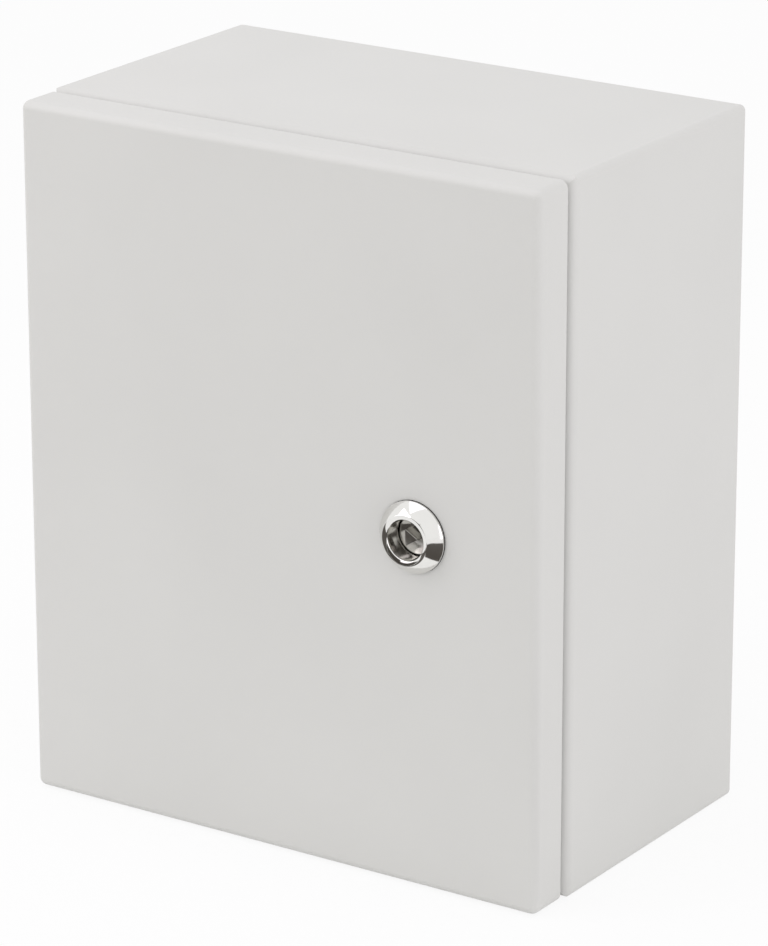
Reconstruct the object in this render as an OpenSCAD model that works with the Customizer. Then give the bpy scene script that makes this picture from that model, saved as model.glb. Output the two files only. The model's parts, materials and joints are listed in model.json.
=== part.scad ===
// Wall-mounted sheet-steel enclosure with a hinged door, concealed goose-neck
// hinges, a quarter-turn cam lock, a mounting plate and a gland plate.
// Millimetres. +Z is up, the door faces -Y, and the origin is the middle of
// the rear face, which lies against the wall.

/* [Enclosure] */
// Width over the side walls
enclosure_w = 250; // [230:10:400]
// Height over the top and bottom walls
enclosure_h = 300; // [280:10:500]
// Depth from the wall to the front of the door
enclosure_d = 155; // [140:5:260]
// Sheet thickness of the body
body_t = 1.2; // [1:0.1:1.5]
// Outer radius of the body's long corners
body_r = 2.5; // [2.5:0.5:4]
// Outer radius of the fold at the front of the body
front_r = 5; // [4:0.5:7]
// Outer radius of the rear panel's fold
rear_r = 2; // [1.5:0.25:2.25]
// Depth of the rear panel's welded flange
rear_flange = 10; // [8:1:14]

/* [Front frame and rim] */
// Frame width from the side walls to the rim
gutter_side = 30; // [30:1:36]
// Frame width from the top and bottom walls to the rim
gutter_end = 20; // [18:1:26]
// Height of the sealing rim in front of the frame
rim_h = 14; // [12:0.5:15]
// Outer corner radius of the rim
rim_r = 10; // [8:1:14]
// Inner radius of the fold at the foot of the rim
rim_fold_r = 1; // [0.8:0.1:1.5]

/* [Door] */
// Sheet thickness of the door
door_t = 1.5; // [1.2:0.1:1.8]
// Depth of the door's folded edge
door_depth = 19; // [18:0.5:20]
// Gap between the door's edge and the front of the body
door_gap = 3; // [3:0.5:5]
// How far the door stays inside the body's outline on each side
door_margin = 0.5; // [0:0.25:1]
// Outer radius of the door's folds and corners
door_r = 3.5; // [3:0.5:5]
// Width of the foamed seal on the door
seal_w = 9.5; // [8:0.5:10]
// Height of the rounded crown on the seal
seal_crown = 2; // [1.5:0.25:3]
// Gap between the seal and the tip of the rim
seal_gap = 0.3; // [0.3:0.1:1]

/* [Hinges] */
// From the top or bottom of the enclosure to the middle of the nearer hinge
hinge_from_end = 55; // [45:5:75]
// From the door's side face to the hinge pin
hinge_side = 7.5; // [7.5:0.1:7.7]
// From the door's front face to the hinge pin
hinge_front = 8.5; // [8:0.1:8.6]
// Radius of the hinge pin
pin_r = 2.5; // [2:0.1:2.6]
// Running clearance round the pin in the arm
pin_fit = 0.05; // [0.03:0.01:0.1]
// Radius of the knuckle on the arm
knuckle_r = 4.2; // [4:0.1:4.3]
// Height of the arm
arm_h = 22; // [16:1:30]
// Thickness of the arm
arm_t = 2; // [1.8:0.1:2.2]
// Thickness of the door bracket's web
bracket_web = 1.2; // [1:0.1:1.2]
// Thickness of the door bracket's ears
bracket_ear = 2; // [1.5:0.25:3]
// Gap between the arm and each ear
ear_gap = 0.5; // [0.3:0.1:1]

/* [Lock] */
// From the door's free edge to the lock
lock_from_edge = 58; // [52:1:62]
// Radius of the chromed bezel
bezel_r = 15; // [14:0.5:18]
// How far the bezel stands in front of the door
bezel_h = 6.5; // [5:0.5:9]
// Height of the bezel's upright outer edge
bezel_edge = 1; // [0.6:0.1:1.5]
// Outer radius of the bezel's front lip
lip_r = 10.6; // [10.6:0.1:12]
// Radius of the lip's rounding towards the recess
lip_round = 2; // [1:0.1:2]
// Radius of the key recess
recess_r = 8.4; // [8.2:0.1:8.6]
// How far the face of the core lies behind the door's front
core_depth = 2; // [1:0.5:3]
// Radius of the face of the core
core_r = 7.6; // [7:0.1:7.8]
// Radius of the threaded barrel
barrel_r = 11; // [10.5:0.25:11.5]
// Thickness of the rubber ring under the bezel
bezel_seal_t = 0.5; // [0.4:0.1:1]
// Radius of the core's shaft
shaft_r = 5.45; // [5:0.05:5.6]
// Running clearance round the shaft
shaft_fit = 0.05; // [0.03:0.01:0.1]
// Height of the triangular key post, corner to flat
key_size = 6.4; // [6:0.1:7]
// Length of the key post
key_h = 5; // [3:0.5:6]
// Cam length from the lock's axis to the tip
cam_length = 45; // [42:1:50]
// Width of the cam
cam_w = 18; // [16:1:20]
// Thickness of the cam
cam_t = 3; // [2.5:0.5:4]
// Side of the square on the core's tail
tail_size = 7; // [6.5:0.1:7.5]
// Gap between the cam and the back of the frame
cam_gap = 0.4; // [0.3:0.1:1]

/* [Wall fixing] */
// From the side walls to the wall holes
wall_inset_side = 25; // [20:1:28]
// From the top and bottom walls to the wall holes
wall_inset_end = 25; // [18:1:28]
// Radius of the wall holes
wall_hole_r = 4.25; // [3:0.25:5]

/* [Mounting plate] */
// From the side walls to the plate
plate_gap_side = 40; // [38:1:50]
// From the top and bottom walls to the plate
plate_gap_end = 35; // [30:1:50]
// Thickness of the mounting plate
plate_t = 2; // [1.5:0.5:3]
// Depth of the plate's folded side edges
plate_fold = 9; // [7:0.5:10]
// From the rear panel to the back of the plate
plate_standoff = 12; // [11:0.5:18]
// Inset of the studs from the plate's edges
stud_inset = 15; // [14:1:20]
// Radius of the plate studs
stud_r = 4; // [3:0.5:4]

/* [Gland plate] */
// Width of the cable opening in the bottom
gland_w = 150; // [100:5:160]
// Depth of the cable opening in the bottom
gland_d = 70; // [50:5:74]
// Width of the plate's border round the opening
gland_border = 13; // [12:0.5:14]
// Thickness of the gland plate
gland_t = 1.5; // [1.2:0.1:2]
// Thickness of the gland plate's gasket
gland_seal_t = 3; // [2:0.5:4]
// Radius of the gland plate's studs
gland_stud_r = 2.5; // [2:0.5:2.5]

/* [Earth studs] */
// Radius of the earth studs
earth_r = 3; // [2.5:0.5:4]
// Length of the earth studs
earth_length = 16; // [14:1:20]
// Height of the body's earth stud above the bottom wall
body_earth_up = 30; // [26:1:50]
// From the door's hinged side to its earth stud
door_earth_in = 45; // [44:1:60]
// Height of the door's earth stud above the bottom
door_earth_up = 40; // [36:1:60]

/* [Hidden] */
$fn = 64;

// Every part is drawn in a front view: x to the right, y up, z forward from the
// wall. placed() then turns it to the real frame.

// Clearances shared by all joints: fixed fit, and play beside a weld
thread_fit = 0.02;
weld_gap = 0.2;

// Welded foot of a stud, and the thread that stands proud of its nut
stud_foot = 1;
stud_foot_t = 0.8;
stud_spare = 3;

// Body
body_front = enclosure_d - door_depth - door_gap;
frame_back = body_front - body_t;
inner_w = enclosure_w - 2 * body_t;
inner_h = enclosure_h - 2 * body_t;
rim_w = enclosure_w - 2 * gutter_side;
rim_height = enclosure_h - 2 * gutter_end;
rim_tip = body_front + rim_h;

// Door
door_w = enclosure_w - 2 * door_margin;
door_h = enclosure_h - 2 * door_margin;
door_back = enclosure_d - door_depth;
door_inner = enclosure_d - door_t;

// Hinge: the pin's place, then the arm's outline counted from the pin
pin_x = door_margin + hinge_side - enclosure_w / 2;
pin_z = enclosure_d - hinge_front;
arm_clear = 0.8;
arm_front = hinge_front - door_t - arm_clear;
arm_leg = norm([hinge_side, door_depth - hinge_front]) + 1;
arm_bend = 3;
arm_foot_end = gutter_side - rim_fold_r - weld_gap - enclosure_w / 2 - pin_x;
bracket_reach = knuckle_r + 0.5;
bracket_front = hinge_front - door_r;
ear_span = arm_h + 2 * ear_gap;
hinge_at = enclosure_h / 2 - hinge_from_end;
clip_gap = 0.1;
clip_t = 0.8;
clip_r = pin_r + 1.8;
clip_mouth = pin_r;
pin_groove = 0.6;
pin_tail = 2;
pin_head = 2;
pin_head_r = pin_r + 1.7;

// Lock, from the front of the bezel back to the head of the screw
lock_x = enclosure_w / 2 - door_margin - lock_from_edge;
bezel_front = enclosure_d + bezel_h;
bezel_base = enclosure_d + bezel_seal_t;
core_face = enclosure_d - core_depth;
core_t = 2.7;
end_play = 0.3;
core_back = core_face - core_t;
recess_floor = core_back - end_play;
barrel_end = body_front;
barrel_flats = 2 * barrel_r - 1.5;
barrel_fit = 0.25;
shoulder = barrel_end - end_play;
cam_front = frame_back - cam_gap;
cam_back = cam_front - cam_t;
cam_washer_t = 1.2;
cam_screw_r = 2;
cam_screw_length = 10;
cam_screw_head = 3;
nut_size = 27;
nut_t = 6;
lock_washer_t = 1;
lock_washer_rim = 4;
bezel_seal_inset = 0.8;
key_chamfer = 0.8;

// The ear of the stop disc turns a quarter between the ends of the barrel's lug
stop_r = barrel_flats / 2 - thread_fit;
stop_ring = 2.4;
stop_hub_r = stop_r - stop_ring - 0.4;
stop_overlap = 0.8;
stop_ear_deg = 90;
stop_lug_deg = 175;
stop_ear_at = 225;

o_ring_r = 0.6;
o_ring_at = (core_face + barrel_end) / 2;
o_ring_floor = shaft_r - 2 * o_ring_r - shaft_fit;

// Fasteners: across flats, thickness, washer radius and washer thickness
function nut_af(r) = r <= 2.5 ? 8 : r <= 3 ? 10 : 13;
function nut_height(r) = 1.6 * r;
function washer_r(r) = 2 * r + 0.2;
function washer_t(r) = r <= 3 ? 1.2 : 1.6;
wall_hole_dx = enclosure_w - 2 * wall_inset_side;
wall_hole_dy = enclosure_h - 2 * wall_inset_end;

plate_w = enclosure_w - 2 * plate_gap_side;
plate_h = enclosure_h - 2 * plate_gap_end;
stud_x = plate_w / 2 - stud_inset;
stud_y = plate_h / 2 - stud_inset;
plate_back = body_t + plate_standoff;
plate_front = plate_back + plate_t;
plate_seat = nut_height(stud_r);
stud_end = plate_front + washer_t(stud_r) + nut_height(stud_r) + stud_spare;

gland_z = (rear_flange + frame_back) / 2;
gland_floor = body_t - enclosure_h / 2;
gland_top = gland_floor + gland_seal_t + gland_t;
gland_stud_x = (gland_w + gland_border) / 2;
gland_stud_z = (gland_d + gland_border) / 2;
gland_r = 8;
gland_stud_end = gland_top + washer_t(gland_stud_r) + nut_height(gland_stud_r) + stud_spare;
gland_hole_fit = 0.4;

earth_base_t = 1;

// ---- shapes that repeat ----

// Turns a part from the front view to the real frame
module placed() {
    rotate([90, 0, 0]) children();
}

module rounded_rect(w, h, r) {
    square([w - 2 * r, h], center = true);
    square([w, h - 2 * r], center = true);
    for (x = [-1, 1], y = [-1, 1])
        translate([x * (w / 2 - r), y * (h / 2 - r)]) circle(r);
}

// Quarter of a bent sheet: outer radius r, in the quadrant between angles 0 and 90
module bend(r, t) {
    intersection() {
        difference() {
            circle(r);
            circle(r - t);
        }
        square(r);
    }
}

// Block with one rounded corner, at its far end in x and y
module corner_block(w, h, r) {
    square([w - r, h]);
    square([w, h - r]);
    translate([w - r, h - r]) circle(r);
}

// Part of a circle, deg wide and under a half, centred on +x
module wedge(r, deg) {
    intersection() {
        circle(r);
        rotate(-deg / 2) translate([-2 * r, 0]) square([4 * r, 2 * r]);
        rotate(deg / 2) translate([-2 * r, -2 * r]) square([4 * r, 2 * r]);
    }
}

// Sweeps a profile round a rounded rectangle. The profile's x counts outwards
// from the corner's axis, so that x = r is the outline, and its y is forward.
module frame_sweep(w, h, r) {
    for (i = [0:3]) rotate(90 * i) {
        across = i % 2 == 0 ? w : h;
        along = i % 2 == 0 ? h : w;
        translate([across / 2 - r, 0, 0])
            rotate([90, 0, 0])
                linear_extrude(along - 2 * r, center = true) children();
        translate([across / 2 - r, along / 2 - r, 0])
            rotate_extrude(angle = 90) children();
    }
}

// A plan outline, x to the right and y forward, pulled up and down by h / 2
module upright(h) {
    rotate([90, 0, 0]) linear_extrude(h, center = true) children();
}

// The same outline laid flat, from y = 0 up to h
module flat_sheet(h) {
    translate([0, h / 2, 0]) upright(h) children();
}

module hex_nut(r, af, t) {
    difference() {
        cylinder(r = af / sqrt(3), h = t, $fn = 6);
        translate([0, 0, -1]) cylinder(r = r + thread_fit, h = t + 2);
    }
}

module washer(r, outer, t) {
    difference() {
        cylinder(r = outer, h = t);
        translate([0, 0, -1]) cylinder(r = r + 2 * thread_fit, h = t + 2);
    }
}

// ---- body ----

// Block with rounded long corners, and a front whose folds meet in mitres
module folded_block(w, h, depth, corner_r, fold_r) {
    intersection() {
        linear_extrude(depth) rounded_rect(w, h, corner_r);
        upright(h) fold_section(w, depth, fold_r);
        rotate(90) upright(w) fold_section(h, depth, fold_r);
    }
}

module fold_section(w, depth, r) {
    translate([-w / 2, 0]) square([w, depth - r]);
    translate([r - w / 2, 0]) square([w - 2 * r, depth]);
    for (side = [-1, 1]) translate([side * (w / 2 - r), depth - r]) circle(r);
}

module wrapper_shell() {
    depth = body_front - rear_flange;
    translate([0, 0, rear_flange]) difference() {
        folded_block(enclosure_w, enclosure_h, depth, body_r, front_r);
        translate([0, 0, -1])
            folded_block(inner_w, inner_h, depth - body_t + 1, body_r - body_t, front_r - body_t);
        linear_extrude(depth + 1)
            rounded_rect(rim_w + 2 * rim_fold_r, rim_height + 2 * rim_fold_r, rim_r + rim_fold_r);
    }
}

module rim_profile() {
    translate([rim_r - body_t, body_front + rim_fold_r])
        square([body_t, rim_h - rim_fold_r]);
    translate([rim_r + rim_fold_r, body_front + rim_fold_r])
        rotate(180) bend(rim_fold_r + body_t, body_t);
}

// Four walls folded from one sheet, with the front frame and the sealing rim
module body_wrapper() {
    color("gainsboro") placed() difference() {
        union() {
            wrapper_shell();
            frame_sweep(rim_w, rim_height, rim_r) rim_profile();
        }
        translate([0, gland_floor - 2 * body_t, gland_z])
            flat_sheet(3 * body_t) gland_outline(0);
    }
}

module rear_fold_profile() {
    translate([body_r - body_t, rear_r]) square([body_t, rear_flange - rear_r]);
    translate([body_r - rear_r, rear_r]) mirror([0, 1]) bend(rear_r, body_t);
    square([body_r - rear_r, body_t]);
}

// Rear wall: a shallow pan welded into the wrapper, with the wall holes
module rear_panel() {
    color("gainsboro") placed() difference() {
        union() {
            frame_sweep(enclosure_w, enclosure_h, body_r) rear_fold_profile();
            linear_extrude(body_t)
                square([enclosure_w - 2 * body_r, enclosure_h - 2 * body_r], center = true);
        }
        for (x = [-1, 1], y = [-1, 1])
            translate([x * wall_hole_dx / 2, y * wall_hole_dy / 2, -1])
                cylinder(r = wall_hole_r, h = body_t + 2);
    }
}

// ---- mounting plate ----

module at_plate_studs(z) {
    for (x = [-1, 1], y = [-1, 1]) translate([x * stud_x, y * stud_y, z]) children();
}

module plate_studs() {
    color("peru") placed() at_plate_studs(body_t) {
        cylinder(r = stud_r, h = stud_end - body_t);
        cylinder(r = stud_r + stud_foot, h = stud_foot_t);
    }
}

module plate_seat_nuts() {
    color("silver") placed() at_plate_studs(plate_back - plate_seat)
        hex_nut(stud_r, nut_af(stud_r), plate_seat);
}

module mounting_plate() {
    fold_r = plate_t + 1;
    color("lightsteelblue") placed() difference() {
        upright(plate_h) {
            translate([-plate_w / 2 + fold_r, plate_back])
                square([plate_w - 2 * fold_r, plate_t]);
            for (side = [0, 1]) mirror([side, 0]) {
                translate([plate_w / 2 - fold_r, plate_front - fold_r]) bend(fold_r, plate_t);
                translate([plate_w / 2 - plate_t, plate_back - plate_fold])
                    square([plate_t, plate_fold + plate_t - fold_r]);
            }
        }
        at_plate_studs(plate_back - 1) cylinder(r = stud_r + 0.5, h = plate_t + 2);
    }
}

module plate_washers() {
    color("silver") placed() at_plate_studs(plate_front)
        washer(stud_r, washer_r(stud_r), washer_t(stud_r));
}

module plate_nuts() {
    color("silver") placed() at_plate_studs(plate_front + washer_t(stud_r))
        hex_nut(stud_r, nut_af(stud_r), nut_height(stud_r));
}

// ---- gland plate, laid on the bottom wall from inside ----

module gland_outline(border) {
    rounded_rect(gland_w + 2 * border, gland_d + 2 * border, gland_r);
}

module at_gland_studs(y) {
    for (x = [-1, 0, 1], z = [-1, 1])
        translate([x * gland_stud_x, y, gland_z + z * gland_stud_z])
            rotate([-90, 0, 0]) children();
}

module gland_stud_holes() {
    at_gland_studs(gland_floor - 1)
        cylinder(r = gland_stud_r + gland_hole_fit, h = gland_seal_t + gland_t + 2);
}

module gland_studs() {
    color("peru") placed() at_gland_studs(gland_floor)
        cylinder(r = gland_stud_r, h = gland_stud_end - gland_floor);
}

module gland_seal() {
    color("dimgray") placed() difference() {
        translate([0, gland_floor, gland_z]) flat_sheet(gland_seal_t) difference() {
            gland_outline(gland_border);
            gland_outline(0);
        }
        gland_stud_holes();
    }
}

module gland_plate() {
    color("lightsteelblue") placed() difference() {
        translate([0, gland_floor + gland_seal_t, gland_z])
            flat_sheet(gland_t) gland_outline(gland_border);
        gland_stud_holes();
    }
}

module gland_washers() {
    color("silver") placed() at_gland_studs(gland_top)
        washer(gland_stud_r, washer_r(gland_stud_r), washer_t(gland_stud_r));
}

module gland_nuts() {
    color("silver") placed() at_gland_studs(gland_top + washer_t(gland_stud_r))
        hex_nut(gland_stud_r, nut_af(gland_stud_r), nut_height(gland_stud_r));
}

// ---- earth studs ----

module earth_stud() {
    cylinder(r = earth_r, h = earth_length);
    cylinder(r = earth_r + stud_foot, h = earth_base_t);
}

// A wide and a narrow washer, which clamp the cable's eye between them
module earth_washers() {
    for (i = [0, 1])
        translate([0, 0, earth_base_t + i * washer_t(earth_r)])
            washer(earth_r, washer_r(earth_r) + 1 - i, washer_t(earth_r));
}

module earth_nut() {
    translate([0, 0, earth_base_t + 2 * washer_t(earth_r)])
        hex_nut(earth_r, nut_af(earth_r), nut_height(earth_r));
}

module at_body_earth() {
    translate([-inner_w / 2, body_earth_up - enclosure_h / 2, gland_z])
        rotate([0, 90, 0]) children();
}

module at_door_earth() {
    translate([door_earth_in - enclosure_w / 2, door_earth_up - enclosure_h / 2, door_inner])
        rotate([180, 0, 0]) children();
}

module body_earth_stud() {
    color("peru") placed() at_body_earth() earth_stud();
}

module body_earth_washers() {
    color("silver") placed() at_body_earth() earth_washers();
}

module body_earth_nut() {
    color("silver") placed() at_body_earth() earth_nut();
}

module door_earth_stud() {
    color("peru") placed() at_door_earth() earth_stud();
}

module door_earth_washers() {
    color("silver") placed() at_door_earth() earth_washers();
}

module door_earth_nut() {
    color("silver") placed() at_door_earth() earth_nut();
}

// ---- hinges ----

module at_hinge(level) {
    translate([pin_x, level * hinge_at, pin_z]) children();
}

// Goose-neck arm: knuckle, neck inside the door's front, leg down to the frame, and
// a foot that is welded to the frame and the rim. Drawn in plan from the pin.
module arm_outline() {
    floor_at = body_front - pin_z;
    neck_h = arm_front - floor_at;
    circle(knuckle_r);
    polygon([
        [-knuckle_r * 0.7, knuckle_r * 0.5], [knuckle_r * 0.7, knuckle_r * 0.5],
        [knuckle_r, arm_front - arm_t / 2], [arm_t / 4, arm_front - arm_t / 4]
    ]);
    translate([0, floor_at]) difference() {
        corner_block(arm_leg + arm_t, neck_h, arm_bend);
        translate([-1, -1])
            corner_block(arm_leg + 1, neck_h - arm_t + 1, arm_bend - arm_t);
    }
    translate([arm_leg, floor_at]) square([arm_foot_end - arm_leg, arm_t]);
}

module hinge_arm(level) {
    color("silver") placed() at_hinge(level) difference() {
        upright(arm_h) arm_outline();
        rotate([90, 0, 0]) cylinder(r = pin_r + pin_fit, h = arm_h + 2, center = true);
    }
}

// U-shaped bracket welded inside the door's folded edge, with an ear above and
// below the arm's knuckle
module hinge_bracket(level) {
    web_x = door_t - hinge_side;
    back = -bracket_reach - 2;
    color("silver") placed() at_hinge(level) difference() {
        union() {
            upright(ear_span + 2 * bracket_ear) translate([web_x, back])
                square([bracket_web, bracket_front - back]);
            for (side = [-1, 1])
                translate([0, side * (ear_span + bracket_ear) / 2, 0])
                    upright(bracket_ear) {
                        translate([web_x, -bracket_reach])
                            square([-web_x, bracket_reach + min(bracket_reach, bracket_front)]);
                        circle(bracket_reach);
                    }
        }
        rotate([90, 0, 0])
            cylinder(r = pin_r + thread_fit, h = ear_span + 2 * bracket_ear + 2, center = true);
    }
}

module hinge_pin(level) {
    half = ear_span / 2 + bracket_ear;
    color("lightgray") placed() at_hinge(level) rotate([-90, 0, 0]) difference() {
        union() {
            translate([0, 0, -half - clip_gap - clip_t - pin_tail])
                cylinder(r = pin_r, h = 2 * half + clip_gap + clip_t + pin_tail);
            translate([0, 0, half]) cylinder(r = pin_head_r, h = pin_head);
        }
        translate([0, 0, -half - clip_gap - clip_t]) difference() {
            cylinder(r = pin_r + 1, h = clip_t);
            cylinder(r = pin_r - pin_groove, h = clip_t);
        }
    }
}

// Open retaining rings in the grooves of the pins
module hinge_pin_clips() {
    half = ear_span / 2 + bracket_ear;
    color("dimgray") placed() for (level = [-1, 1]) at_hinge(level)
        translate([0, -half - clip_gap - clip_t / 2, 0]) upright(clip_t) difference() {
            circle(clip_r);
            circle(pin_r - pin_groove + thread_fit);
            translate([-clip_mouth / 2, -clip_r - 1]) square([clip_mouth, clip_r]);
        }
}

// ---- door ----

module door_fold_profile() {
    translate([door_r - door_t, door_back])
        square([door_t, door_depth - door_r]);
    translate([0, enclosure_d - door_r]) bend(door_r, door_t);
}

module door_panel() {
    color("gainsboro") placed() difference() {
        union() {
            frame_sweep(door_w, door_h, door_r) door_fold_profile();
            translate([0, 0, door_inner]) linear_extrude(door_t)
                square([door_w - 2 * door_r, door_h - 2 * door_r], center = true);
        }
        translate([lock_x, 0, door_inner - 1])
            linear_extrude(door_t + 2) double_d(barrel_r + barrel_fit, barrel_flats + 2 * barrel_fit);
    }
}

// Foamed seal: a flat back on the door and a rounded crown over the rim
module seal_profile() {
    crown_r = (seal_w * seal_w / 4 + seal_crown * seal_crown) / (2 * seal_crown);
    tip = rim_tip + seal_gap;
    middle = rim_r - body_t / 2;
    translate([middle, 0]) {
        translate([-seal_w / 2, tip + seal_crown])
            square([seal_w, door_inner - tip - seal_crown]);
        intersection() {
            translate([0, tip + crown_r]) circle(crown_r);
            translate([-seal_w / 2, tip]) square([seal_w, seal_crown]);
        }
    }
}

module door_seal() {
    color("darkgray") placed() frame_sweep(rim_w, rim_height, rim_r) seal_profile();
}

// ---- lock ----

module at_lock() {
    translate([lock_x, 0, 0]) children();
}

// Circle with two flats
module double_d(r, flats) {
    intersection() {
        circle(r);
        square([flats, 2 * r], center = true);
    }
}

// Bezel with a sloping face and a rounded lip, the key recess, and the threaded
// barrel with its two flats and the stop lug on its end
module lock_housing() {
    lug_h = end_play + stop_overlap;
    round_x = recess_r + lip_round;
    round_z = bezel_front - lip_round;
    color("silver") placed() at_lock() difference() {
        union() {
            rotate_extrude() polygon([
                [0, bezel_base], [bezel_r, bezel_base], [bezel_r, bezel_base + bezel_edge],
                [lip_r, bezel_front], [0, bezel_front]
            ]);
            translate([0, 0, barrel_end])
                linear_extrude(bezel_base - barrel_end + bezel_edge)
                    double_d(barrel_r, barrel_flats);
            translate([0, 0, barrel_end - lug_h]) linear_extrude(lug_h + 1) difference() {
                wedge(stop_r, stop_lug_deg);
                circle(stop_r - stop_ring);
            }
        }
        translate([0, 0, recess_floor]) cylinder(r = recess_r, h = bezel_front - recess_floor + 1);
        translate([0, 0, barrel_end - lug_h - 1])
            cylinder(r = shaft_r + shaft_fit, h = recess_floor - barrel_end + lug_h + 2);
        rotate_extrude() difference() {
            translate([0, round_z]) square([round_x, lip_round + 1]);
            translate([round_x, round_z]) circle(lip_round);
        }
    }
}

module lock_bezel_seal() {
    color("dimgray") placed() at_lock() translate([0, 0, enclosure_d])
        washer(barrel_r + barrel_fit, bezel_r - bezel_seal_inset, bezel_seal_t);
}

module lock_washer() {
    color("silver") placed() at_lock() translate([0, 0, door_inner - lock_washer_t])
        washer(barrel_r, barrel_r + lock_washer_rim, lock_washer_t);
}

module lock_nut() {
    color("silver") placed() at_lock() translate([0, 0, door_inner - lock_washer_t - nut_t])
        hex_nut(barrel_r, nut_size, nut_t);
}

// Triangular key post with its corners turned down and its end chamfered
module key_post() {
    inscribed = key_size / 3;
    corner_r = key_size * 0.6;
    intersection() {
        cylinder(r = 2 * inscribed, h = key_h, $fn = 3);
        union() {
            cylinder(r = corner_r, h = key_h - key_chamfer);
            translate([0, 0, key_h - key_chamfer])
                cylinder(r1 = corner_r, r2 = corner_r - key_chamfer, h = key_chamfer);
        }
    }
}

module lock_core() {
    tail_end = cam_back + 0.2;
    color("darkgray") placed() at_lock() difference() {
        union() {
            translate([0, 0, core_face]) key_post();
            translate([0, 0, core_back]) cylinder(r = core_r, h = core_t);
            translate([0, 0, shoulder]) cylinder(r = shaft_r, h = core_back - shoulder);
            translate([0, 0, tail_end]) linear_extrude(shoulder - tail_end)
                square(tail_size, center = true);
        }
        translate([0, 0, o_ring_at]) rotate_extrude()
            translate([o_ring_floor, -1.2 * o_ring_r]) square([3 * o_ring_r, 2.4 * o_ring_r]);
        translate([0, 0, tail_end - 1])
            cylinder(r = cam_screw_r + thread_fit, h = cam_screw_length + 1);
    }
}

module lock_o_ring() {
    color("black") placed() at_lock() translate([0, 0, o_ring_at]) rotate_extrude()
        translate([shaft_r - o_ring_r, 0]) circle(o_ring_r);
}

module tail_hole() {
    square(tail_size + 2 * thread_fit, center = true);
}

// Disc on the core's tail, whose ear meets the barrel's lug at each end
module lock_stop_disc() {
    color("silver") placed() at_lock() translate([0, 0, cam_front])
        linear_extrude(shoulder - cam_front) difference() {
            union() {
                circle(stop_hub_r);
                rotate(stop_ear_at) wedge(stop_r, stop_ear_deg);
            }
            tail_hole();
        }
}

// The cam stands upright when the lock is open, and turns to the frame to lock
module lock_cam() {
    tip_r = cam_w / 2 - 2;
    color("lightgray") placed() at_lock() translate([0, 0, cam_back])
        linear_extrude(cam_t) difference() {
            union() {
                circle(cam_w / 2);
                translate([-tip_r, 0]) square([2 * tip_r, cam_length - tip_r]);
                translate([0, cam_length - tip_r]) circle(tip_r);
            }
            tail_hole();
        }
}

module cam_washer() {
    color("silver") placed() at_lock() translate([0, 0, cam_back - cam_washer_t])
        washer(cam_screw_r, tail_size / 2 + 3, cam_washer_t);
}

module cam_screw() {
    head_back = cam_back - cam_washer_t - cam_screw_head;
    color("silver") placed() at_lock() translate([0, 0, head_back]) difference() {
        union() {
            cylinder(r = 2 * cam_screw_r - 0.3, h = cam_screw_head);
            cylinder(r = cam_screw_r, h = cam_screw_head + cam_screw_length);
        }
        translate([0, 0, -1]) cylinder(r = cam_screw_r - 0.1, h = cam_screw_head, $fn = 6);
    }
}

// ---- nodes ----

body_wrapper();
rear_panel();
plate_studs();
plate_seat_nuts();
mounting_plate();
plate_washers();
plate_nuts();
gland_studs();
gland_seal();
gland_plate();
gland_washers();
gland_nuts();
body_earth_stud();
body_earth_washers();
body_earth_nut();
hinge_arm(1);  // hinge_arm_upper
hinge_arm(-1);  // hinge_arm_lower
door_panel();
door_seal();
hinge_bracket(1);  // hinge_bracket_upper
hinge_bracket(-1);  // hinge_bracket_lower
hinge_pin(1);  // hinge_pin_upper
hinge_pin(-1);  // hinge_pin_lower
hinge_pin_clips();
door_earth_stud();
door_earth_washers();
door_earth_nut();
lock_housing();
lock_bezel_seal();
lock_washer();
lock_nut();
lock_core();
lock_o_ring();
lock_stop_disc();
lock_cam();
cam_washer();
cam_screw();
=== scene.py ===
import json
from math import cos, radians, sin, sqrt

import bmesh
import bpy
from mathutils import Matrix, Vector

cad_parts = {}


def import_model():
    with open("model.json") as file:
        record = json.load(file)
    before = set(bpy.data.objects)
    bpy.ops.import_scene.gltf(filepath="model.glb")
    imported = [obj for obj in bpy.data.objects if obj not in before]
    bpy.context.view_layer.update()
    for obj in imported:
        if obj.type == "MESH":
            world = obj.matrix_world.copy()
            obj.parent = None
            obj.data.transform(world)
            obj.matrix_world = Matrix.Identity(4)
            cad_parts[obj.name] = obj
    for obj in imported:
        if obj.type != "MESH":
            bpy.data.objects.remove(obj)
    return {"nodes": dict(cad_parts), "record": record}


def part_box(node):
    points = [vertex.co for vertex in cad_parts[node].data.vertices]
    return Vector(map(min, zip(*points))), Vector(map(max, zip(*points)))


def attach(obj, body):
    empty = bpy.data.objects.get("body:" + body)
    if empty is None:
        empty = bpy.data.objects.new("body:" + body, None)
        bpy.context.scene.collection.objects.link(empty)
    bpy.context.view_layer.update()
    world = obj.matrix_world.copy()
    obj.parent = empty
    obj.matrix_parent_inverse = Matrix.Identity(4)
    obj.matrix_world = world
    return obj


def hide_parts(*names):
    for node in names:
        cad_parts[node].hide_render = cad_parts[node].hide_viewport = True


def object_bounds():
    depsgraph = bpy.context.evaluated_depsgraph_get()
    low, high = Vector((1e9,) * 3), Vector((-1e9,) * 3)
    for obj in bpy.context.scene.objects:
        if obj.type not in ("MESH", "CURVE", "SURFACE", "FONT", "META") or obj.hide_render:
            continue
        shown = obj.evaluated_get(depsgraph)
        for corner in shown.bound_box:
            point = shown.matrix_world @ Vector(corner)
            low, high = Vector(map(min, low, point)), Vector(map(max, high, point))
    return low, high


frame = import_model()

CAD_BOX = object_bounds()
MM = 0.001

# ---- where the pieces are, from the frame ----

X, Y, Z = range(3)


def reach(node, axis):
    """A node's lowest and highest place along an axis, in mm."""
    low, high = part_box(node)
    return low[axis] / MM, high[axis] / MM


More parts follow.
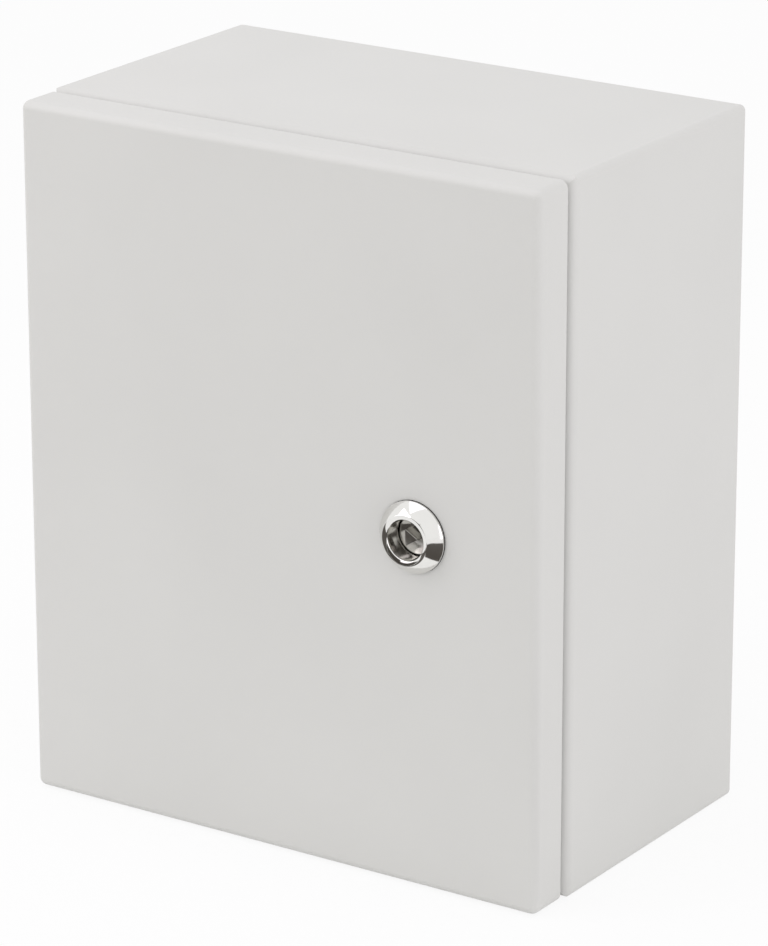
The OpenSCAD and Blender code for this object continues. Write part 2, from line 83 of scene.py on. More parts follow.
def middle(node, axis):
    return sum(reach(node, axis)) / 2


def span(node, axis):
    low, high = reach(node, axis)
    return high - low


LOCK_X = middle("lock_housing", X)
LOCK_Z = middle("lock_housing", Z)


# ---- materials ----

def srgb(hex_code):
    """A colour written as sRGB hex, as the linear colour that a shader takes."""
    channels = [int(hex_code[i:i + 2], 16) / 255 for i in (1, 3, 5)]
    linear = [c / 12.92 if c <= 0.04045 else ((c + 0.055) / 1.055) ** 2.4 for c in channels]
    return (*linear, 1.0)


def add(tree, kind, values=None, links=None, **settings):
    """Adds a shader node with its settings, its constant inputs and its links."""
    made = tree.nodes.new(kind)
    for key, value in settings.items():
        setattr(made, key, value)
    for key, value in (values or {}).items():
        made.inputs[key].default_value = value
    for key, socket in (links or {}).items():
        tree.links.new(socket, made.inputs[key])
    return made


def new_material(name):
    """An empty node material, with its output and a Principled shader joined to it."""
    material = bpy.data.materials.new(name)
    material.use_nodes = True
    tree = material.node_tree
    tree.nodes.clear()
    shader = add(tree, "ShaderNodeBsdfPrincipled")
    add(tree, "ShaderNodeOutputMaterial", links={"Surface": shader.outputs["BSDF"]})
    return material, tree, shader


def per_metre(size_mm):
    """The texture scale at which one cell or wave measures size_mm."""
    return 1000 / size_mm


def powder_coated_steel():
    # Sheet steel under light grey polyester powder, baked to a satin skin. The powder
    # melts into a faint orange peel, about 1.5 mm across, which breaks up highlights.
    material, tree, shader = new_material("Powder-coated sheet steel, light grey")
    surface = add(tree, "ShaderNodeTexCoord").outputs["Object"]
    cloud = add(tree, "ShaderNodeTexNoise", {"Scale": per_metre(70), "Detail": 2.0},
                {"Vector": surface})
    tint = add(tree, "ShaderNodeMix", {6: srgb("#D5D5D1"), 7: srgb("#DADAD6")},
               {0: cloud.outputs["Fac"]}, data_type="RGBA")
    peel = add(tree, "ShaderNodeTexNoise",
               {"Scale": per_metre(1.5), "Detail": 1.5, "Roughness": 0.4},
               {"Vector": surface})
    sheen = add(tree, "ShaderNodeMapRange", {"To Min": 0.40, "To Max": 0.50},
                {"Value": peel.outputs["Fac"]})
    relief = add(tree, "ShaderNodeBump", {"Strength": 0.25, "Distance": 0.00006},
                 {"Height": peel.outputs["Fac"]})
    tree.links.new(tint.outputs[2], shader.inputs["Base Color"])
    tree.links.new(sheen.outputs["Result"], shader.inputs["Roughness"])
    tree.links.new(relief.outputs["Normal"], shader.inputs["Normal"])
    shader.inputs["IOR"].default_value = 1.5
    return material


def galvanised_steel():
    # Sheet steel dipped in zinc. The zinc freezes into spangles, flat crystals some
    # 8 mm across, each with its own tone and gloss.
    material, tree, shader = new_material("Galvanised sheet steel")
    surface = add(tree, "ShaderNodeTexCoord").outputs["Object"]
    spangle = add(tree, "ShaderNodeTexVoronoi", {"Scale": per_metre(8), "Randomness": 1.0},
                  {"Vector": surface})
    grey = add(tree, "ShaderNodeRGBToBW", links={"Color": spangle.outputs["Color"]})
    tint = add(tree, "ShaderNodeMix", {6: srgb("#A9AEB1"), 7: srgb("#C3C8CA")},
               {0: grey.outputs["Val"]}, data_type="RGBA")
    gloss = add(tree, "ShaderNodeMapRange", {"To Min": 0.34, "To Max": 0.50},
                {"Value": grey.outputs["Val"]})
    grain = add(tree, "ShaderNodeTexNoise", {"Scale": per_metre(0.8), "Detail": 2.0},
                {"Vector": surface})
    relief = add(tree, "ShaderNodeBump", {"Strength": 0.2, "Distance": 0.00005},
                 {"Height": grain.outputs["Fac"]})
    tree.links.new(tint.outputs[2], shader.inputs["Base Color"])
    tree.links.new(gloss.outputs["Result"], shader.inputs["Roughness"])
    tree.links.new(relief.outputs["Normal"], shader.inputs["Normal"])
    shader.inputs["Metallic"].default_value = 1.0
    return material


def plated_metal(name, dark, light, rough_from, rough_to, grain_mm, depth):
    """A turned, stamped or rolled metal part under a thin plating, with a fine grain."""
    material, tree, shader = new_material(name)
    surface = add(tree, "ShaderNodeTexCoord").outputs["Object"]
    grain = add(tree, "ShaderNodeTexNoise", {"Scale": per_metre(grain_mm), "Detail": 3.0},
                {"Vector": surface})
    tint = add(tree, "ShaderNodeMix", {6: srgb(dark), 7: srgb(light)},
               {0: grain.outputs["Fac"]}, data_type="RGBA")
    gloss = add(tree, "ShaderNodeMapRange", {"To Min": rough_from, "To Max": rough_to},
                {"Value": grain.outputs["Fac"]})
    relief = add(tree, "ShaderNodeBump", {"Strength": 0.15, "Distance": depth},
                 {"Height": grain.outputs["Fac"]})
    tree.links.new(tint.outputs[2], shader.inputs["Base Color"])
    tree.links.new(gloss.outputs["Result"], shader.inputs["Roughness"])
    tree.links.new(relief.outputs["Normal"], shader.inputs["Normal"])
    shader.inputs["Metallic"].default_value = 1.0
    return material


def soft_polymer(name, dark, light, roughness, pore_mm, depth):
    """Rubber or foam with a matte skin and small pores."""
    material, tree, shader = new_material(name)
    surface = add(tree, "ShaderNodeTexCoord").outputs["Object"]
    pores = add(tree, "ShaderNodeTexNoise", {"Scale": per_metre(pore_mm), "Detail": 4.0},
                {"Vector": surface})
    tint = add(tree, "ShaderNodeMix", {6: srgb(dark), 7: srgb(light)},
               {0: pores.outputs["Fac"]}, data_type="RGBA")
    relief = add(tree, "ShaderNodeBump", {"Strength": 0.4, "Distance": depth},
                 {"Height": pores.outputs["Fac"]})
    tree.links.new(tint.outputs[2], shader.inputs["Base Color"])
    tree.links.new(relief.outputs["Normal"], shader.inputs["Normal"])
    shader.inputs["Roughness"].default_value = roughness
    shader.inputs["IOR"].default_value = 1.5
    return material


FINISHES = {
    "powder_coated_steel": powder_coated_steel(),
    "galvanised_steel": galvanised_steel(),
    # Drawn weld studs, plated with copper so that they weld cleanly: warm, fairly bright.
    "coppered_stud": plated_metal(
        "Copper-plated stud", "#B9775A", "#CE8D6C", 0.24, 0.36, 0.6, 0.00001),
    # Turned and stamped steel in bright zinc: cool, slightly cloudy.
    "zinc_plated_steel": plated_metal(
        "Zinc-plated steel", "#B4B9BE", "#CBCFD3", 0.22, 0.36, 1.2, 0.00001),
    # Hardened spring steel, phosphated almost black.
    "spring_steel": plated_metal(
        "Phosphated spring steel", "#2A2A2B", "#3A3A3B", 0.42, 0.55, 0.5, 0.00001),
    # Zinc die casting, polished and chromed: a mirror with only a trace of haze.
    "chromed_die_casting": plated_metal(
        "Polished chrome", "#E4E3E0", "#ECEBE8", 0.06, 0.10, 6.0, 0.000002),
    # Zinc die casting left satin, as cast.
    "die_cast_core": plated_metal(
        "Satin zinc die casting", "#B9B7B2", "#CBC9C4", 0.16, 0.26, 0.7, 0.000006),
    # Moulded black rubber.
    "black_rubber": soft_polymer(
        "Moulded rubber, black", "#161616", "#232323", 0.6, 0.5, 0.00002),
    # Polyurethane foam, poured in place: a dark closed skin with tiny dimples.
    "foamed_seal": soft_polymer(
        "Foamed polyurethane seal", "#2F3032", "#3D3E40", 0.75, 0.8, 0.00015),
}

SLOT_OF = {part["node"]: part["material_slot"] for part in frame["record"]["subparts"]}
for node, shape in frame["nodes"].items():
    for holder in shape.material_slots:
        holder.material = FINISHES[SLOT_OF[node]]


# ---- tools for modelling ----

# Where a piece's own Z axis points after it is put in its place
FACING = {
    "front": (radians(90), 0, 0),
    "right": (radians(90), 0, radians(90)),
    "back": (radians(-90), 0, 0),
    "up": (0, 0, 0),
    "down": (radians(180), 0, 0),
}


def only(piece):
    bpy.ops.object.select_all(action="DESELECT")
    piece.select_set(True)
    bpy.context.view_layer.objects.active = piece


def choose(piece, test):
    """In edit mode, selects the vertices that pass the test."""
    shape = bmesh.from_edit_mesh(piece.data)
    for vertex in shape.verts:
        vertex.select_set(test(vertex))
    shape.select_flush_mode()
    bmesh.update_edit_mesh(piece.data)


def turned(name, outline, steps=48, sweep=360):
    """A closed piece, spun about the Z axis from (radius, height) points in mm."""
    bpy.ops.object.select_all(action="DESELECT")
    bpy.ops.mesh.primitive_plane_add(size=MM)
    piece = bpy.context.object
    piece.name = name
    bpy.ops.object.mode_set(mode="EDIT")
    bpy.ops.mesh.merge(type="CENTER")
    bpy.ops.transform.translate(value=(outline[0][0] * MM, 0, outline[0][1] * MM))
    for (r_from, z_from), (r_to, z_to) in zip(outline, outline[1:]):
        step = ((r_to - r_from) * MM, 0, (z_to - z_from) * MM)
        bpy.ops.mesh.extrude_region_move(TRANSFORM_OT_translate={"value": step})
    if outline[0][0] or outline[-1][0]:
        choose(piece, lambda vertex: len(vertex.link_edges) == 1)
        bpy.ops.mesh.edge_face_add()
    bpy.ops.mesh.select_all(action="SELECT")
    bpy.ops.mesh.spin(steps=steps, angle=radians(sweep), center=(0, 0, 0), axis=(0, 0, 1))
    bpy.ops.mesh.select_all(action="SELECT")
    bpy.ops.mesh.remove_doubles(threshold=0.001 * MM)
    if sweep < 360:
        bpy.ops.mesh.fill_holes(sides=0)
    bpy.ops.mesh.normals_make_consistent(inside=False)
    bpy.ops.object.mode_set(mode="OBJECT")
    return piece


def cut_flats(piece, across, angles):
    """Cuts flats on a turned piece, across mm apart, facing the given angles."""
    only(piece)
    bpy.ops.object.mode_set(mode="EDIT")
    for angle in angles:
        way = Vector((cos(radians(angle)), sin(radians(angle)), 0))
        bpy.ops.mesh.select_all(action="SELECT")
        bpy.ops.mesh.bisect(plane_co=way * across / 2 * MM, plane_no=way, use_fill=True,
                            clear_outer=True, threshold=0.0001 * MM)
    bpy.ops.object.mode_set(mode="OBJECT")


def thread(crest, depth, start, end, pitch):
    """Outline points of a screw thread."""
    turns = round((end - start) / pitch)
    step = (end - start) / turns
    points = []
    for turn in range(turns):
        points += [(crest - depth, start + turn * step), (crest, start + (turn + 0.5) * step)]
    return points + [(crest - depth, end)]


def place(piece, at, facing):
    """Turns a piece's Z axis to face a way and moves it to a place in mm, in its mesh."""
    only(piece)
    piece.rotation_euler = FACING[facing]
    piece.location = Vector(at) * MM
    bpy.ops.object.transform_apply(location=True, rotation=True, scale=False)


def joined(*pieces):
    """Joins pieces into the first one."""
    only(pieces[0])
    for piece in pieces[1:]:
        piece.select_set(True)
    bpy.ops.object.join()
    return pieces[0]


def dressed(piece, node, body, sharp=35):
    """Gives a piece its finish and shading, hangs it on its body and lets it stand for a node."""
    only(piece)
    bpy.ops.object.shade_smooth_by_angle(angle=radians(sharp))
    piece.data.materials.clear()
    piece.data.materials.append(FINISHES[SLOT_OF[node]])
    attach(piece, body)
    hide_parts(node)


def spread(piece, spots, facing, node, body):
    """Copies a piece to each spot, each copy with its own mesh, and removes the first."""
    for number, spot in enumerate(spots, 1):
        twin = piece.copy()
        twin.data = piece.data.copy()
        twin.name = f"{piece.name}_{number}"
        bpy.context.scene.collection.objects.link(twin)
        place(twin, spot, facing)
        dressed(twin, node, body)
    bpy.data.objects.remove(piece)


def softened(node, body, width, sharp=35):
    """A copy of a stamped or folded node, with its edges rolled over by width mm."""
    piece = bpy.data.objects.new(f"{node}_rolled", frame["nodes"][node].data.copy())
    bpy.context.scene.collection.objects.link(piece)
    only(piece)
    bpy.ops.object.mode_set(mode="EDIT")
    bpy.ops.mesh.select_all(action="SELECT")
    bpy.ops.mesh.customdata_custom_splitnormals_clear()
    bpy.ops.mesh.remove_doubles(threshold=0.001 * MM)
    bpy.ops.mesh.dissolve_limited(angle_limit=radians(0.5))
    bpy.ops.object.mode_set(mode="OBJECT")
    roll = piece.modifiers.new("Rolled edges", "BEVEL")
    roll.width = width * MM
    roll.segments = 2
    roll.limit_method = "ANGLE"
    roll.angle_limit = radians(sharp)
    bpy.ops.object.modifier_apply(modifier=roll.name)
    dressed(piece, node, body, sharp)


# ---- fasteners ----

# Depth of a thread, as a share of its pitch
THREAD_DEPTH = 0.61
# Radius of a nut's flat face, as a share of its width across flats
NUT_FACE = 0.475
# How much wider than the thread the bore of a nut and of a washer is
NUT_FIT = 0.04
WASHER_FIT = 0.02

def stud(name, radius, length, pitch, foot=None):
    """A weld stud, threaded from its foot to its chamfered tip."""
    depth = THREAD_DEPTH * pitch
    base = [(0, 0), (radius - depth, 0)]
    if foot:
        foot_r, foot_t = foot
        base = [(0, 0), (foot_r - 0.2, 0), (foot_r, 0.2), (foot_r, foot_t - 0.2),
                (foot_r - 0.2, foot_t), (radius - depth, foot_t)]
    tip = [(radius - 1.4 * depth, length - 0.1), (radius - 1.6 * depth, length), (0, length)]
    screw = thread(radius, depth, base[-1][1] + 0.3, length - 0.6, pitch)
    return turned(name, base + screw + tip, 32)


def nut(name, bore, across, height, burr=0.4):
    """A hexagon nut with both faces turned to a chamfer, its corners on the X axis."""
    corner = across / sqrt(3)
    face = NUT_FACE * across
    rise = (corner - face) / sqrt(3)
    blank = turned(name, [
        (bore + burr, 0), (face, 0), (corner, rise), (corner, height - rise), (face, height),
        (bore + burr, height), (bore, height - burr), (bore, burr),
    ], 48)
    cut_flats(blank, across, range(30, 390, 60))
    return blank


def washer(name, bore, outer, thickness, roll=0.15):
    """A stamped washer with rolled edges."""
    return turned(name, [
        (bore, roll), (bore + roll, 0), (outer - roll, 0), (outer, roll),
        (outer, thickness - roll), (outer - roll, thickness), (bore + roll, thickness),
        (bore, thickness - roll),
    ], 40)


# ---- mounting plate and its fixings ----

# A weld stud's radius, and the radius and thickness of its foot
PLATE_STUD_R = 4
PLATE_STUD_FOOT = (5, 0.8)
STUD_X = reach("plate_studs", X)[1] - PLATE_STUD_FOOT[0]
STUD_Z = reach("plate_studs", Z)[1] - PLATE_STUD_FOOT[0] + 0.01


def plate_spots(y):
    return [(x, y, z) for z in (STUD_Z, -STUD_Z) for x in (-STUD_X, STUD_X)]


def plate_fixings():
    foot_y = reach("plate_studs", Y)[1]
    bolt = stud("plate_stud", PLATE_STUD_R, span("plate_studs", Y), 1.25, PLATE_STUD_FOOT)
    spread(bolt, plate_spots(foot_y), "front", "plate_studs", "enclosure")
    for node, name in (("plate_seat_nuts", "plate_seat_nut"), ("plate_nuts", "plate_nut")):
        across = span(node, Z) - 2 * STUD_Z
        hexagon = nut(name, PLATE_STUD_R + NUT_FIT, across, span(node, Y))
        spread(hexagon, plate_spots(reach(node, Y)[1]), "front", node, "enclosure")
    outer = (span("plate_washers", X) - 2 * STUD_X) / 2
    ring = washer("plate_washer", PLATE_STUD_R + WASHER_FIT, outer, span("plate_washers", Y))
    spread(ring, plate_spots(reach("plate_washers", Y)[1]), "front", "plate_washers", "enclosure")


# ---- cable entry plate and its fixings ----

# Radius of its weld studs
GLAND_STUD_R = 2.5


def gland_spots(z):
    low, high = reach("gland_studs", Y)
    x = reach("gland_studs", X)[1] - GLAND_STUD_R
    rows = (low + GLAND_STUD_R, high - GLAND_STUD_R)
    return [(side * x, y, z) for side in (-1, 0, 1) for y in rows]


def gland_fixings():
    bolt = stud("gland_stud", GLAND_STUD_R, span("gland_studs", Z), 0.8)
    spread(bolt, gland_spots(reach("gland_studs", Z)[0]), "up", "gland_studs", "enclosure")
    outer = reach("gland_washers", X)[1] - gland_spots(0)[-1][X]
    ring = washer("gland_washer", GLAND_STUD_R + WASHER_FIT, outer, span("gland_washers", Z))
    spread(ring, gland_spots(reach("gland_washers", Z)[0]), "up", "gland_washers", "enclosure")
    across = span("gland_nuts", Y) - (gland_spots(0)[1][Y] - gland_spots(0)[0][Y])
    hexagon = nut("gland_nut", GLAND_STUD_R + NUT_FIT, across, span("gland_nuts", Z), 0.3)
    spread(hexagon, gland_spots(reach("gland_nuts", Z)[0]), "up", "gland_nuts", "enclosure")


# ---- earth terminals ----

# A weld stud's radius, and the radius and thickness of its foot
EARTH_R = 3
EARTH_FOOT = (4, 1)


def earth_terminal(where, body, axis, facing):
    """A weld stud along an axis, with two stacked washers and a nut."""
    parts = ("stud", "washers", "nut")
    bolt_node, ring_node, nut_node = (f"{where}_earth_{part}" for part in parts)

    def seated(piece, node, rise=0):
        spot = [middle(bolt_node, way) for way in (X, Y, Z)]
        spot[axis] = reach(node, axis)[0] + rise
        place(piece, spot, facing)
        dressed(piece, node, body)

    bolt = stud(f"{where}_earth_bolt", EARTH_R, span(bolt_node, axis), 1.0, EARTH_FOOT)
    seated(bolt, bolt_node)
    thickness = span(ring_node, axis) / 2
    outer = span(ring_node, Z) / 2
    for number in (0, 1):
        ring = washer(f"{where}_earth_ring_{number + 1}", EARTH_R + WASHER_FIT,
                      outer - number, thickness)
        seated(ring, ring_node, number * thickness)
    hexagon = nut(f"{where}_earth_hexagon", EARTH_R + NUT_FIT,
                  span(nut_node, Z), span(nut_node, axis), 0.3)
    seated(hexagon, nut_node)


# ---- hinges ----

PIN_R = 2.5
PIN_HEAD_T = 2.0
# Width and depth of the clip's groove, and its distance from the tip
CLIP_GROOVE = 0.8
CLIP_DEPTH = 0.6
CLIP_FROM_TIP = 2
PIN_CHAMFER = 0.7


def hinge_pins():
    """Headed pins with a domed head, a clip groove and a chamfered tip."""
    for node in ("hinge_pin_upper", "hinge_pin_lower"):
        low, high = reach(node, Z)
        head = span(node, X) / 2
        length = high - low
        groove = length - CLIP_FROM_TIP - CLIP_GROOVE
        root = PIN_R - CLIP_DEPTH
        pin = turned(f"{node}_turned", [
            (0, 0), (head - 1.4, 0), (head - 0.5, 0.35), (head, 1.0),
            (head, PIN_HEAD_T - 0.2), (head - 0.2, PIN_HEAD_T), (PIN_R, PIN_HEAD_T),
            (PIN_R, groove), (root, groove), (root, groove + CLIP_GROOVE),
            (PIN_R, groove + CLIP_GROOVE), (PIN_R, length - PIN_CHAMFER),
            (PIN_R - PIN_CHAMFER, length), (0, length),
        ], 40)
        place(pin, (middle(node, X), middle(node, Y), high), "down")
        dressed(pin, node, "door")


# ---- lock ----

# The threaded barrel: its radius, its width over the flats, and how far it passes the door
BARREL_R = 11
BARREL_FLATS = 20.5
BARREL_PAST_DOOR = 3
BARREL_THREAD = 0.8
SLEEVE_R = BARREL_R - 1.5
BORE_R = 5.5
RECESS_R = 8.4
RECESS_DEPTH = 11.5
# The bezel's lip: its outer radius, the roll into the recess, and how far that roll sits back
LIP_R = 10.6
LIP_ROLL = 0.8
LIP_FALL = 0.35
BEZEL_EDGE = 1
SHAFT_R = 5.45
# The lug that stops the turn: its thickness and its sweep in degrees
STOP_RING = 2.4
STOP_SWEEP = 175
# The core's face: how far it stands behind the key post's tip, its thickness and its dome
KEY_H = 5
CORE_T = 2.7
CORE_EASE = 0.45
DOME_R = 7.6
DOME_RISE = 0.7
KEY_SIZE = 6.4
# How far the post's side edges and top edges are cast round
KEY_SIDE_ROLL = 0.55
KEY_TOP_ROLL = 0.4
TAIL_SIZE = 7
CAM_SCREW_R = 2


def forward(node):
    """A node's back and front, as distances in front of the wall."""
    low, high = reach(node, Y)
    return -high, -low


def at_lock(piece, ahead=0):
    """Puts a piece on the lock's axis, ahead mm in front of the wall."""
    place(piece, (LOCK_X, -ahead, LOCK_Z), "front")


def lock_housing():
    """The bezel, a cone that rises to a flared lip, and the flatted thread behind it."""
    lug_back, front = forward("lock_housing")
    back = forward("door_panel")[0] - BARREL_PAST_DOOR
    base = forward("lock_bezel_seal")[1]
    bezel_r = span("lock_housing", X) / 2
    flare = [(RECESS_R + LIP_ROLL * (1 - cos(radians(a))),
              front - LIP_FALL - LIP_ROLL * (1 - sin(radians(a)))) for a in range(0, 70, 10)]
    crown = [(9.5, front - 0.22), (10.0, front - 0.08)]
    bezel = turned("lock_bezel", [
        (SLEEVE_R, back), (BORE_R, back), (BORE_R, front - RECESS_DEPTH),
        (RECESS_R - 0.2, front - RECESS_DEPTH), (RECESS_R, front - RECESS_DEPTH + 0.2),
        *flare, *crown,
        (LIP_R - 0.1, front), (LIP_R + 0.12, front - 0.12),
        (bezel_r - 0.1, base + BEZEL_EDGE + 0.12), (bezel_r, base + BEZEL_EDGE - 0.05),
        (bezel_r, base + 0.2), (bezel_r - 0.2, base), (SLEEVE_R, base),
    ], 128)
    barrel = turned("lock_barrel", [
        (SLEEVE_R - 0.2, base + 0.1), (SLEEVE_R - 0.2, back),
        *thread(BARREL_R, BARREL_THREAD, back, base + 0.1, 1.5),
    ], 72)
    cut_flats(barrel, BARREL_FLATS, (0, 180))
    stop_r = BARREL_FLATS / 2 - 0.02
    lug = turned("lock_lug", [
        (stop_r - STOP_RING, lug_back), (stop_r, lug_back),
        (stop_r, back + 1), (stop_r - STOP_RING, back + 1),
    ], 40, STOP_SWEEP)
    only(lug)
    lug.rotation_euler = (0, 0, radians(-STOP_SWEEP / 2))
    bpy.ops.object.transform_apply(location=False, rotation=True, scale=False)
    whole = joined(bezel, barrel, lug)
    at_lock(whole)
    dressed(whole, "lock_housing", "door", 25)


def key_post(floor_z, top_z, size):
    """The triangular post that the key turns, pointing right, with its edges cast round."""
    inscribed = size / 3
    bpy.ops.object.select_all(action="DESELECT")
    bpy.ops.mesh.primitive_cylinder_add(
        vertices=3, radius=2 * inscribed * MM, depth=(top_z - floor_z) * MM,
        location=(0, 0, (top_z + floor_z) / 2 * MM), rotation=(0, 0, radians(-90)))
    post = bpy.context.object
    bpy.ops.object.transform_apply(location=True, rotation=True, scale=False)
    bpy.ops.object.mode_set(mode="EDIT")
    bpy.ops.mesh.select_mode(type="EDGE")
    for upright, radius in ((True, KEY_SIDE_ROLL), (False, KEY_TOP_ROLL)):
        shape = bmesh.from_edit_mesh(post.data)
        for edge in shape.edges:
            heights = [vertex.co.z for vertex in edge.verts]
            edge.select_set(max(heights) - min(heights) > MM if upright
                            else min(heights) > (top_z - 0.01) * MM)
        bmesh.update_edit_mesh(post.data)
        bpy.ops.mesh.bevel(offset=radius * MM, segments=5)
    bpy.ops.mesh.select_mode(type="VERT")
    bpy.ops.object.mode_set(mode="OBJECT")
    return post


def lock_core():
    """The turning core: a shallow domed face, the key's post, the shaft and a square tail."""
    tail_back, top = forward("lock_core")
    face = top - KEY_H
    back = face - CORE_T
    core_r = span("lock_core", X) / 2 + CORE_EASE
    dome = [(r, face + DOME_RISE - DOME_RISE * (r / DOME_R) ** 2)
            for r in (DOME_R, 6.5, 5.2, 4, 2.5, 1.2)]
    shoulder = forward("lock_stop_disc")[1]
    disc = turned("lock_core_turned", [
        (0, shoulder), (SHAFT_R - 0.3, shoulder), (SHAFT_R, shoulder + 0.3), (SHAFT_R, back),
        (core_r - 0.2, back), (core_r, back + 0.2), (core_r, face - 0.3),
        (core_r - 0.15, face - 0.1), *dome, (0, face + DOME_RISE),
    ], 96)
    post = key_post(face - 1, top, KEY_SIZE)
    bpy.ops.object.select_all(action="DESELECT")
    tail_front = shoulder + 0.5
    bpy.ops.mesh.primitive_cube_add(size=TAIL_SIZE * MM,
                                    location=(0, 0, (tail_front + tail_back) / 2 * MM))
    tail = bpy.context.object
    tail.scale = (1, 1, (tail_front - tail_back) / TAIL_SIZE)
    bpy.ops.object.transform_apply(location=True, rotation=True, scale=True)
    bpy.ops.object.mode_set(mode="EDIT")
    bpy.ops.mesh.bevel(offset=0.4 * MM, segments=3)
    bpy.ops.object.mode_set(mode="OBJECT")
    whole = joined(disc, post, tail)
    at_lock(whole)
    dressed(whole, "lock_core", "lock", 40)


def lock_fixings():
    back, front = forward("lock_bezel_seal")
    outer = span("lock_housing", X) / 2 + 0.1
    ring = washer("bezel_seal_ring", BARREL_R + 0.3, outer, front - back, 0.1)
    at_lock(ring, back)
    dressed(ring, "lock_bezel_seal", "door")
    back, front = forward("lock_nut")
    hexagon = nut("lock_clamp_nut", BARREL_R + NUT_FIT, span("lock_nut", Z), front - back, 0.8)
    at_lock(hexagon, back)
    dressed(hexagon, "lock_nut", "door")
    for node, radius, body in (("lock_washer", BARREL_R, "door"),
                               ("cam_washer", CAM_SCREW_R, "lock")):
        back, front = forward(node)
        ring = washer(f"{node}_stamped", radius + WASHER_FIT, span(node, X) / 2, front - back, 0.2)
        at_lock(ring, back)
        dressed(ring, node, body)


plate_fixings()
gland_fixings()
earth_terminal("body", "enclosure", X, "right")
earth_terminal("door", "door", Y, "back")
hinge_pins()
lock_housing()
lock_core()
lock_fixings()
for stamped, carrier, roll in (
    ("mounting_plate", "enclosure", 0.3), ("gland_plate", "enclosure", 0.25),
    ("hinge_arm_upper", "enclosure", 0.3), ("hinge_arm_lower", "enclosure", 0.3),
    ("hinge_bracket_upper", "door", 0.25), ("hinge_bracket_lower", "door", 0.25),
    ("lock_cam", "lock", 0.3), ("lock_stop_disc", "lock", 0.15), ("cam_screw", "lock", 0.2),
    ("hinge_pin_clips", "door", 0.12),
):
    softened(stamped, carrier, roll)


# ---- stage ----

# Strength of the white surroundings on the object itself, apart from the lamps
DAYLIGHT = 0.79
FLOOR_SIZE = 8
FLOOR_GAP = 0.0002

def stage_material(name, colour, seen_as):
    """Floor paint that the camera and mirrors see at seen_as, and that shades as colour."""
    material, tree, shader = new_material(name)
    output = next(n for n in tree.nodes if n.type == "OUTPUT_MATERIAL")
    shader.inputs["Base Color"].default_value = srgb(colour)
    shader.inputs["Roughness"].default_value = 0.9
    shader.inputs["Specular IOR Level"].default_value = 0.0
    ray = add(tree, "ShaderNodeLightPath")
    direct = add(tree, "ShaderNodeMath", operation="MAXIMUM",
                 links={0: ray.outputs["Is Camera Ray"], 1: ray.outputs["Is Glossy Ray"]})
    share = add(tree, "ShaderNodeMath", {1: seen_as}, {0: direct.outputs[0]},
                operation="MULTIPLY")
    white = add(tree, "ShaderNodeEmission", {"Color": srgb("#FFFFFF"), "Strength": 1.0})
    both = add(tree, "ShaderNodeMixShader",
               links={0: share.outputs[0], 1: shader.outputs["BSDF"],
                      2: white.outputs["Emission"]})
    tree.links.new(both.outputs["Shader"], output.inputs["Surface"])
    return material


def floor():
    bpy.ops.object.select_all(action="DESELECT")
    bpy.ops.mesh.primitive_plane_add(size=FLOOR_SIZE,
                                     location=(0, 0, CAD_BOX[0][Z] - FLOOR_GAP))
    plane = bpy.context.object
    plane.name = "floor"
    plane.data.materials.append(stage_material("Pale studio floor", "#F2F2F2", 0.9))


def flag(name, low, high):
    """A black card between two corners, in metres, seen only in shiny metal."""
    bpy.ops.object.select_all(action="DESELECT")
    bpy.ops.mesh.primitive_cube_add(size=1, location=(Vector(low) + Vector(high)) / 2)
    card = bpy.context.object
    card.name = name
    card.scale = Vector(high) - Vector(low)
    bpy.ops.object.transform_apply(location=True, rotation=True, scale=True)
    card.data.materials.append(BLACK_CARD)
    card.visible_camera = card.visible_diffuse = False
    card.visible_shadow = card.visible_transmission = False


def black_card():
    material, tree, shader = new_material("Black studio card")
    shader.inputs["Base Color"].default_value = srgb("#4A4640")
    shader.inputs["Roughness"].default_value = 0.9
    return material


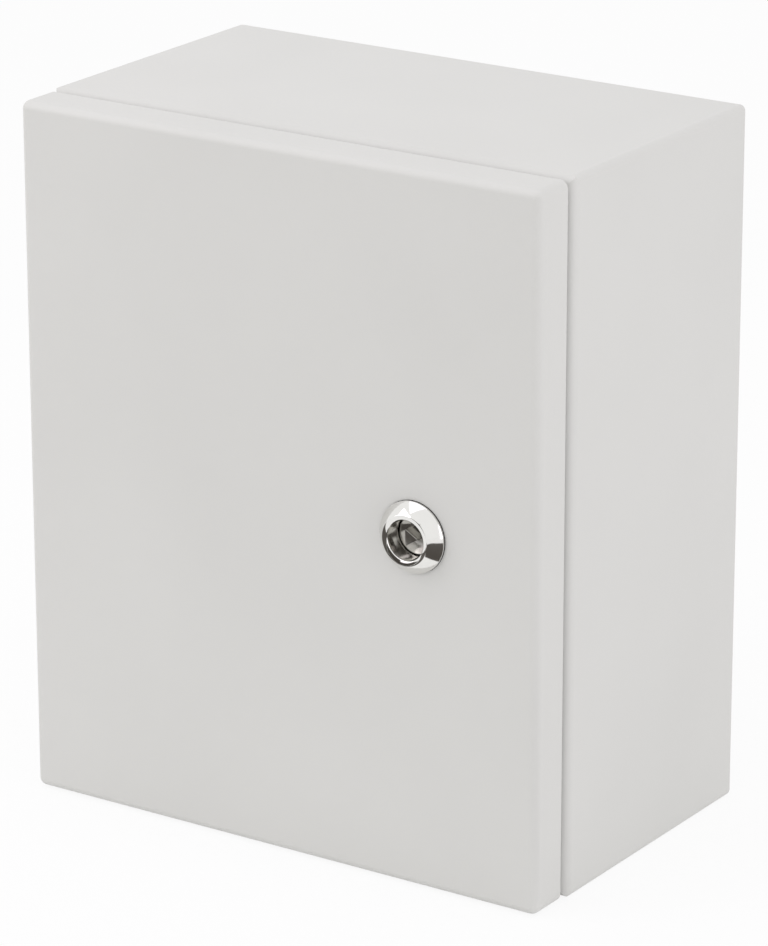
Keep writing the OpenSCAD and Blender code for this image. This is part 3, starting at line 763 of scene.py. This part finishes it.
def world():
    sky = bpy.data.worlds.new("Studio")
    sky.use_nodes = True
    tree = sky.node_tree
    tree.nodes.clear()
    ray = add(tree, "ShaderNodeLightPath")
    direct = add(tree, "ShaderNodeMath", operation="MAXIMUM",
                 links={0: ray.outputs["Is Camera Ray"], 1: ray.outputs["Is Glossy Ray"]})
    strength = add(tree, "ShaderNodeMapRange", {"To Min": DAYLIGHT, "To Max": 1.0},
                   {"Value": direct.outputs[0]})
    light = add(tree, "ShaderNodeBackground", {"Color": srgb("#FFFFFF")},
                {"Strength": strength.outputs["Result"]})
    add(tree, "ShaderNodeOutputWorld", links={"Surface": light.outputs["Background"]})
    bpy.context.scene.world = sky


def softbox(name, azimuth, elevation, distance, size, power, colour):
    """A square area lamp that faces the enclosure from the given direction."""
    centre = (Vector(CAD_BOX[0]) + Vector(CAD_BOX[1])) / 2
    a, e = radians(azimuth), radians(elevation)
    way = Vector((sin(a) * cos(e), -cos(a) * cos(e), sin(e)))
    lamp = bpy.data.lights.new(name, "AREA")
    lamp.shape = "SQUARE"
    lamp.size = size
    lamp.energy = power
    lamp.color = srgb(colour)[:3]
    holder = bpy.data.objects.new(name, lamp)
    holder.location = centre + way * distance
    holder.rotation_euler = way.to_track_quat("Z", "Y").to_euler()
    bpy.context.scene.collection.objects.link(holder)


def camera():
    """The view from right of the door and a little above, through a long lens."""
    azimuth, elevation, roll = radians(33.8), radians(18.92), radians(-0.09)
    distance = 2.025
    target = Vector((-0.0009, -0.075, -0.0092))
    way = Vector((sin(azimuth) * cos(elevation), -cos(azimuth) * cos(elevation), sin(elevation)))
    lens = bpy.data.cameras.new("Camera")
    lens.lens = 186
    lens.sensor_width = 36
    holder = bpy.data.objects.new("Camera", lens)
    turn = way.to_track_quat("Z", "Y").to_matrix().to_4x4() @ Matrix.Rotation(roll, 4, "Z")
    holder.matrix_world = Matrix.Translation(target + way * distance) @ turn
    bpy.context.scene.collection.objects.link(holder)
    bpy.context.scene.camera = holder


BLACK_CARD = black_card()

floor()
world()
flag("front_flag", (-1.6, -2.5, -0.149), (0.4, -0.42, -0.147))
flag("right_flag", (0.149, -0.55, -0.149), (0.58, -0.12, -0.147))
flag("tall_flag", (-3.5, -2.82, -0.14), (1.2, -2.8, 2.2))
softbox("Key", -38, 32, 1.2, 0.8, 2.7, "#FFFAFF")
softbox("Side", 85, 12, 1.6, 1.0, 4.3, "#FBF5FF")
softbox("Top", -60, 78, 1.5, 1.1, 3.2, "#F6EEFF")
camera()
bpy.context.scene.view_settings.view_transform = "Standard"
